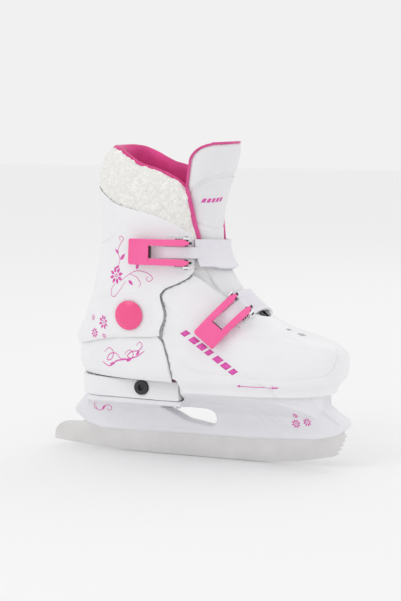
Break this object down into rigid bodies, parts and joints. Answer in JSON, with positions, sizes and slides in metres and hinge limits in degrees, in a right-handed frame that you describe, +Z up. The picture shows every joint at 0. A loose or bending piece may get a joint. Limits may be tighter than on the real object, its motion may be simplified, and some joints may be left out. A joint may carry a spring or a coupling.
{
  "type": "adjustable ice skate",
  "caption": "Child's ice skate: soft fleece-collared boot in a hard shell with sliding heel, pivoting cuff, ratchet buckles, holder and steel blade.",
  "frame": {"origin": "middle of the blade's running edge, on the flat stretch under the boot", "axes": "+X to the toe, +Y to the inner side of the foot, +Z up"},
  "size_m": [0.2673, 0.1048, 0.2615],
  "materials": {
    "shell_white": "smooth moulded plastic",
    "blade_steel": "brushed along its length",
    "hardware_steel": "turned and pressed steel",
    "liner_cloth": "knitted liner",
    "lining_pink": "brushed satin lining",
    "fleece_white": "curly fleece",
    "tongue_white": "smooth coated fabric",
    "piping_pink": "satin piping",
    "strap_lilac": "ribbed flexible plastic",
    "buckle_black": "moulded plastic",
    "lever_pink": "satin moulded plastic",
    "cap_pink": "polished moulded plastic"
  },
  "bodies": {
    "chassis": {"blade": "blade_steel", "blade_holder": "shell_white", "sole_screws": "hardware_steel", "heel_rail": "hardware_steel", "rail_screws": "hardware_steel", "toe_shell": "shell_white", "toe_liner": "liner_cloth", "footbed": "lining_pink", "lower_strap": "strap_lilac", "lower_strap_rivet": "hardware_steel", "lower_buckle_base": "shell_white", "lower_buckle_rivet": "hardware_steel", "lower_hinge_pins": "buckle_black"},
    "lower_lever": {"lower_lever": "lever_pink", "lower_pawl_pin": "hardware_steel"},
    "lower_pawl": {"lower_pawl": "buckle_black"},
    "heel": {"heel_base": "shell_white", "heel_shell": "shell_white", "heel_screws": "hardware_steel", "heel_liner": "liner_cloth", "pivot_post_lateral": "hardware_steel", "pivot_post_medial": "hardware_steel", "pivot_washers": "hardware_steel", "pivot_cap_lateral": "cap_pink", "pivot_cap_medial": "cap_pink", "button_spring": "hardware_steel"},
    "button": {"release_button": "buckle_black", "latch_hook": "hardware_steel"},
    "cuff": {"cuff": "shell_white", "collar": "fleece_white", "collar_lining": "lining_pink", "tongue": "tongue_white", "tongue_piping": "piping_pink", "upper_strap": "strap_lilac", "upper_strap_rivet": "hardware_steel", "upper_buckle_base": "shell_white", "upper_buckle_rivet": "hardware_steel", "upper_hinge_pins": "buckle_black"},
    "upper_lever": {"upper_lever": "lever_pink", "upper_pawl_pin": "hardware_steel"},
    "upper_pawl": {"upper_pawl": "buckle_black"}
  },
  "joints": [
    {"name": "heel_slide", "type": "slide", "parent": "chassis", "child": "heel", "axis": [-1, 0, 0], "range_m": [0, 0.02]},
    {"name": "cuff_pivot", "type": "hinge", "parent": "heel", "child": "cuff", "pos_m": [-0.039, 0, 0.121], "axis": [0, 1, 0], "range_deg": [0, 2.5], "deforming": ["tongue", "tongue_piping", "collar", "collar_lining"]},
    {"name": "button_push", "type": "slide", "parent": "heel", "child": "button", "axis": [0, 1, 0], "range_m": [0, 0.003], "stiffness_N_per_m": 400, "deforming": ["button_spring"]},
    {"name": "upper_lever_hinge", "type": "hinge", "parent": "cuff", "child": "upper_lever", "pos_m": [0.01035, -0.04206, 0.17313], "axis": [0.0004, 0.0629, 0.998], "range_deg": [0, 100]},
    {"name": "upper_pawl_hinge", "type": "hinge", "parent": "upper_lever", "child": "upper_pawl", "pos_m": [-0.02473, -0.04768, 0.1735], "axis": [0.0004, 0.0629, 0.998], "range_deg": [0, 5], "stiffness_Nm_per_rad": 0.02},
    {"name": "lower_lever_hinge", "type": "hinge", "parent": "chassis", "child": "lower_lever", "pos_m": [0.05176, -0.02662, 0.13283], "axis": [-0.7943, 0.011, 0.6074], "range_deg": [0, 100]},
    {"name": "lower_pawl_hinge", "type": "hinge", "parent": "lower_lever", "child": "lower_pawl", "pos_m": [0.03512, -0.04533, 0.11142], "axis": [-0.7943, 0.011, 0.6074], "range_deg": [0, 5], "stiffness_Nm_per_rad": 0.02}
  ]
}
